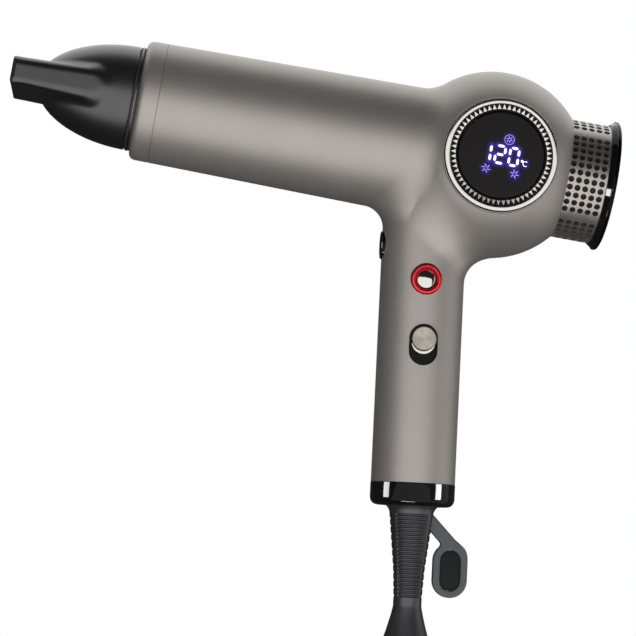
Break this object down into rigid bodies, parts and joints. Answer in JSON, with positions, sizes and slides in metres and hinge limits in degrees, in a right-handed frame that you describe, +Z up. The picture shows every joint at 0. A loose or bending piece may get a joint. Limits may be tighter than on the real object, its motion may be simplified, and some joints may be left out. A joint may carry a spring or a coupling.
{
  "type": "hair dryer",
  "caption": "Hand-held hair dryer with a straight barrel, spherical rear bulb with a round dial display, perforated inlet sleeve, slip-on flat concentrator nozzle and a round leaning handle.",
  "frame": {"origin": "middle of the grip, on the handle's axis", "axes": "+X from the nozzle towards the inlet along the barrel, +Z up across the barrel, display and switches on the -Y side"},
  "size_m": [0.2742, 0.079, 0.2672],
  "materials": {
    "painted_shell": "satin metallic paint over moulded ABS",
    "nozzle_plastic": "satin moulded",
    "collar_metal": "turned and polished",
    "sleeve_metal": "perforated, anodised",
    "filter_wire": "woven wire",
    "gloss_black": "piano gloss",
    "bezel_metal": "satin metallic paint over moulded ABS",
    "dial_chrome": "polished and knurled",
    "display_glass": "hard-coated display window with lit digits",
    "trim_chrome": "polished",
    "red_ring": "red anodised",
    "knob_silver": "radially brushed",
    "boot_rubber": "moulded matte",
    "tab_rubber": "moulded matte",
    "insert_rubber": "matte",
    "duct_plastic": "moulded",
    "seal_rubber": "soft",
    "mica": "mica board",
    "heater_wire": "drawn",
    "brass_parts": "turned",
    "motor_metal": "machined",
    "copper": "enamelled copper windings",
    "steel": "plain",
    "magnet": "nickel plated magnet",
    "impeller_plastic": "moulded",
    "board_green": "circuit board with parts",
    "switch_black": "moulded",
    "ion_blue": "potted module",
    "wire_red": "wire insulation",
    "terminal_white": "moulded"
  },
  "bodies": {
    "dryer": {"housing_left": "painted_shell", "housing_right": "painted_shell", "front_ring": "painted_shell", "outlet_grille": "duct_plastic", "nozzle_magnets": "magnet", "heat_shield": "mica", "heater_frame": "mica", "heater_coils": "heater_wire", "thermostat": "brass_parts", "thermal_fuse": "brass_parts", "ion_generator": "ion_blue", "ion_needles": "steel", "fan_duct": "duct_plastic", "duct_seals": "seal_rubber", "motor_case": "motor_metal", "motor_stator": "copper", "motor_bearings": "steel", "inlet_seat": "duct_plastic", "inlet_screws": "steel", "inlet_magnets": "magnet", "display_bezel": "bezel_metal", "display_lens": "display_glass", "display_board": "board_green", "speed_button_bezel": "gloss_black", "speed_button_spring": "steel", "speed_button_switch": "switch_black", "cool_shot_ring": "red_ring", "cool_shot_spring": "steel", "cool_shot_switch": "switch_black", "switch_frame": "gloss_black", "switch_module": "switch_black", "control_board": "board_green", "power_wires": "wire_red", "terminal_block": "terminal_white", "cord_clamp": "duct_plastic", "clamp_screws": "steel", "handle_collar": "gloss_black", "strain_relief": "boot_rubber", "hang_tab": "tab_rubber", "hang_tab_insert": "insert_rubber"},
    "nozzle_collar": {"nozzle_collar": "collar_metal"},
    "nozzle": {"nozzle": "nozzle_plastic"},
    "rotor": {"motor_shaft": "steel", "rotor_magnet": "magnet", "impeller": "impeller_plastic", "impeller_nut": "brass_parts"},
    "inlet_filter": {"filter_sleeve": "sleeve_metal", "filter_rim": "gloss_black", "filter_mesh": "filter_wire"},
    "dial": {"dial_ring": "dial_chrome"},
    "speed_button": {"speed_button": "gloss_black"},
    "cool_shot_button": {"cool_shot_cap": "trim_chrome"},
    "slide_switch": {"switch_knob": "knob_silver"}
  },
  "joints": [
    {"name": "nozzle_pull", "type": "slide", "parent": "dryer", "child": "nozzle_collar", "axis": [-1, 0, 0], "range_m": [0, 0.03]},
    {"name": "nozzle_turn", "type": "hinge", "parent": "nozzle_collar", "child": "nozzle", "pos_m": [-0.16396, 0, 0.10417], "axis": [1, 0, 0], "continuous": true},
    {"name": "fan_spin", "type": "hinge", "parent": "dryer", "child": "rotor", "pos_m": [0.01604, 0, 0.10417], "axis": [1, 0, 0], "continuous": true},
    {"name": "filter_pull", "type": "slide", "parent": "dryer", "child": "inlet_filter", "axis": [1, 0, 0], "range_m": [0, 0.03]},
    {"name": "dial_turn", "type": "hinge", "parent": "dryer", "child": "dial", "pos_m": [0.01604, -0.034, 0.10417], "axis": [0, -1, 0], "continuous": true},
    {"name": "speed_press", "type": "slide", "parent": "dryer", "child": "speed_button", "axis": [0.9921, 0, 0.1253], "range_m": [0, 0.0015], "stiffness_N_per_m": 1500, "deforming": ["speed_button_spring"]},
    {"name": "cool_shot_press", "type": "slide", "parent": "dryer", "child": "cool_shot_button", "axis": [0, 1, 0], "range_m": [0, 0.0015], "stiffness_N_per_m": 1500, "deforming": ["cool_shot_spring"]},
    {"name": "switch_slide", "type": "slide", "parent": "dryer", "child": "slide_switch", "axis": [0.1253, 0, -0.9921], "range_m": [0, 0.0043]}
  ]
}
